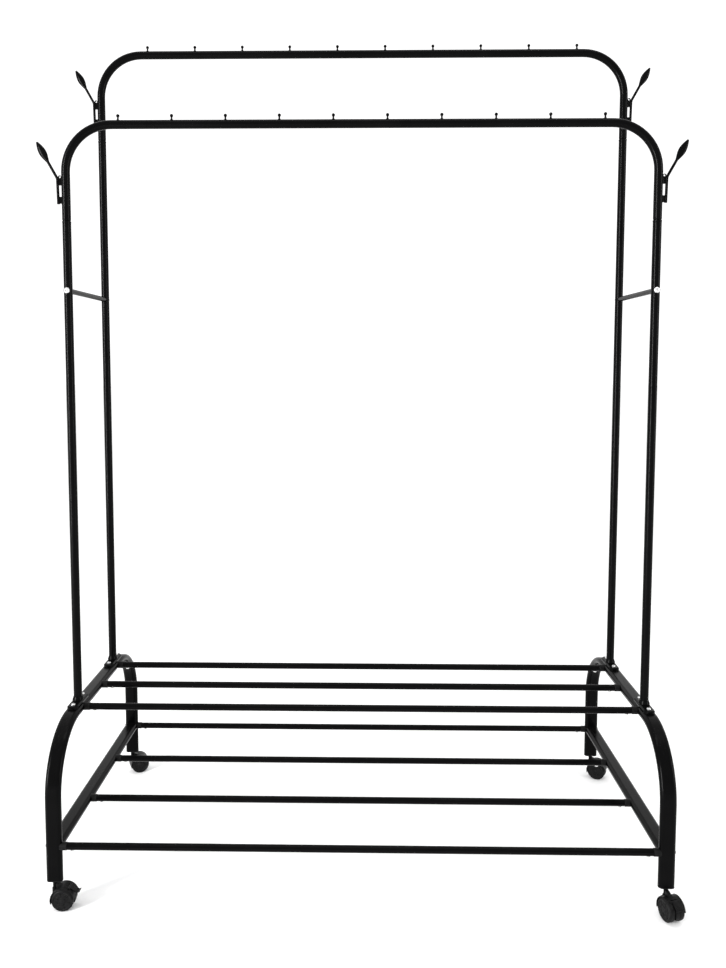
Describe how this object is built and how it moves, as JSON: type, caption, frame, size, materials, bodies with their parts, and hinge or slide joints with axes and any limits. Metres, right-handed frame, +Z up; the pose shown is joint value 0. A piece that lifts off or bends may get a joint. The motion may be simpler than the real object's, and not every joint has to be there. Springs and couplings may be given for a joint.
{
  "type": "double garment rail on casters",
  "caption": "Double garment rail: inverted-U rails at two heights on round uprights, slatted two-level base, leaf side hooks and braked casters.",
  "frame": {"origin": "on the floor, under the middle of the footprint", "axes": "+X to the right along the rails, +Y towards the back, where the higher rail stands, +Z up"},
  "size_m": [1.1906, 0.5948, 1.6267],
  "materials": {
    "powder_coat": "satin-gloss black powder coat on mild steel tube",
    "black_plastic": "moulded black nylon",
    "caster_plastic": "moulded black nylon with a fine grain",
    "caster_tread": "moulded black nylon wheel",
    "zinc_steel": "bright zinc-plated steel"
  },
  "bodies": {
    "root": {"bar_end_collars": "black_plastic", "bar_end_pegs": "powder_coat", "bar_end_screws": "zinc_steel", "caster_stems": "powder_coat", "crossbar_bolts": "zinc_steel", "crossbar_nuts": "zinc_steel", "crossbar_washers": "black_plastic", "foot_plates": "powder_coat", "foot_screws": "zinc_steel", "front_rail": "powder_coat", "front_stop_pegs": "powder_coat", "hook_front_left": "powder_coat", "hook_front_right": "powder_coat", "hook_rear_left": "powder_coat", "hook_rear_right": "powder_coat", "hook_standoffs": "powder_coat", "leg_plugs": "black_plastic", "lower_shelf_bar_front": "powder_coat", "lower_shelf_bar_mid_front": "powder_coat", "lower_shelf_bar_mid_rear": "powder_coat", "lower_shelf_bar_rear": "powder_coat", "mid_crossbar_left": "powder_coat", "mid_crossbar_right": "powder_coat", "rear_rail": "powder_coat", "rear_stop_pegs": "powder_coat", "side_crossbar_left": "powder_coat", "side_crossbar_right": "powder_coat", "side_frame_left": "powder_coat", "side_frame_right": "powder_coat", "upper_shelf_bar_front": "powder_coat", "upper_shelf_bar_middle": "powder_coat", "upper_shelf_bar_rear": "powder_coat", "upright_front_left": "powder_coat", "upright_front_right": "powder_coat", "upright_rear_left": "powder_coat", "upright_rear_right": "powder_coat"},
    "caster_front_left": {"caster_body_front_left": "caster_plastic", "caster_axle_front_left": "zinc_steel", "brake_pin_front_left": "zinc_steel"},
    "wheel_a_front_left": {"wheel_a_front_left": "caster_tread"},
    "wheel_b_front_left": {"wheel_b_front_left": "caster_tread"},
    "brake_front_left": {"brake_lever_front_left": "caster_plastic"},
    "caster_front_right": {"caster_body_front_right": "caster_plastic", "caster_axle_front_right": "zinc_steel", "brake_pin_front_right": "zinc_steel"},
    "wheel_a_front_right": {"wheel_a_front_right": "caster_tread"},
    "wheel_b_front_right": {"wheel_b_front_right": "caster_tread"},
    "brake_front_right": {"brake_lever_front_right": "caster_plastic"},
    "caster_rear_left": {"caster_body_rear_left": "caster_plastic", "caster_axle_rear_left": "zinc_steel"},
    "wheel_a_rear_left": {"wheel_a_rear_left": "caster_tread"},
    "wheel_b_rear_left": {"wheel_b_rear_left": "caster_tread"},
    "caster_rear_right": {"caster_body_rear_right": "caster_plastic", "caster_axle_rear_right": "zinc_steel"},
    "wheel_a_rear_right": {"wheel_a_rear_right": "caster_tread"},
    "wheel_b_rear_right": {"wheel_b_rear_right": "caster_tread"}
  },
  "joints": [
    {"name": "swivel_front_left", "type": "hinge", "parent": "root", "child": "caster_front_left", "pos_m": [-0.542, -0.252, 0.04], "axis": [0, 0, 1], "continuous": true},
    {"name": "roll_a_front_left", "type": "hinge", "parent": "caster_front_left", "child": "wheel_a_front_left", "pos_m": [-0.526, -0.252, 0.02], "axis": [0, 1, 0], "continuous": true},
    {"name": "roll_b_front_left", "type": "hinge", "parent": "caster_front_left", "child": "wheel_b_front_left", "pos_m": [-0.526, -0.252, 0.02], "axis": [0, 1, 0], "continuous": true},
    {"name": "brake_front_left", "type": "hinge", "parent": "caster_front_left", "child": "brake_front_left", "pos_m": [-0.51548, -0.252, 0.03978], "axis": [0, 1, 0], "range_deg": [0, 11]},
    {"name": "swivel_front_right", "type": "hinge", "parent": "root", "child": "caster_front_right", "pos_m": [0.542, -0.252, 0.04], "axis": [0, 0, 1], "continuous": true},
    {"name": "roll_a_front_right", "type": "hinge", "parent": "caster_front_right", "child": "wheel_a_front_right", "pos_m": [0.54641, -0.26738, 0.02], "axis": [0.9613, 0.2756, 0], "continuous": true},
    {"name": "roll_b_front_right", "type": "hinge", "parent": "caster_front_right", "child": "wheel_b_front_right", "pos_m": [0.54641, -0.26738, 0.02], "axis": [0.9613, 0.2756, 0], "continuous": true},
    {"name": "brake_front_right", "type": "hinge", "parent": "caster_front_right", "child": "brake_front_right", "pos_m": [0.54931, -0.27749, 0.03978], "axis": [0.9613, 0.2756, 0], "range_deg": [0, 11]},
    {"name": "swivel_rear_left", "type": "hinge", "parent": "root", "child": "caster_rear_left", "pos_m": [-0.542, 0.268, 0.04], "axis": [0, 0, 1], "continuous": true},
    {"name": "roll_a_rear_left", "type": "hinge", "parent": "caster_rear_left", "child": "wheel_a_rear_left", "pos_m": [-0.52762, 0.27501, 0.02], "axis": [-0.4384, 0.8988, 0], "continuous": true},
    {"name": "roll_b_rear_left", "type": "hinge", "parent": "caster_rear_left", "child": "wheel_b_rear_left", "pos_m": [-0.52762, 0.27501, 0.02], "axis": [-0.4384, 0.8988, 0], "continuous": true},
    {"name": "swivel_rear_right", "type": "hinge", "parent": "root", "child": "caster_rear_right", "pos_m": [0.542, 0.268, 0.04], "axis": [0, 0, 1], "continuous": true},
    {"name": "roll_a_rear_right", "type": "hinge", "parent": "caster_rear_right", "child": "wheel_a_rear_right", "pos_m": [0.5565, 0.26124, 0.02], "axis": [0.4226, 0.9063, 0], "continuous": true},
    {"name": "roll_b_rear_right", "type": "hinge", "parent": "caster_rear_right", "child": "wheel_b_rear_right", "pos_m": [0.5565, 0.26124, 0.02], "axis": [0.4226, 0.9063, 0], "continuous": true}
  ]
}
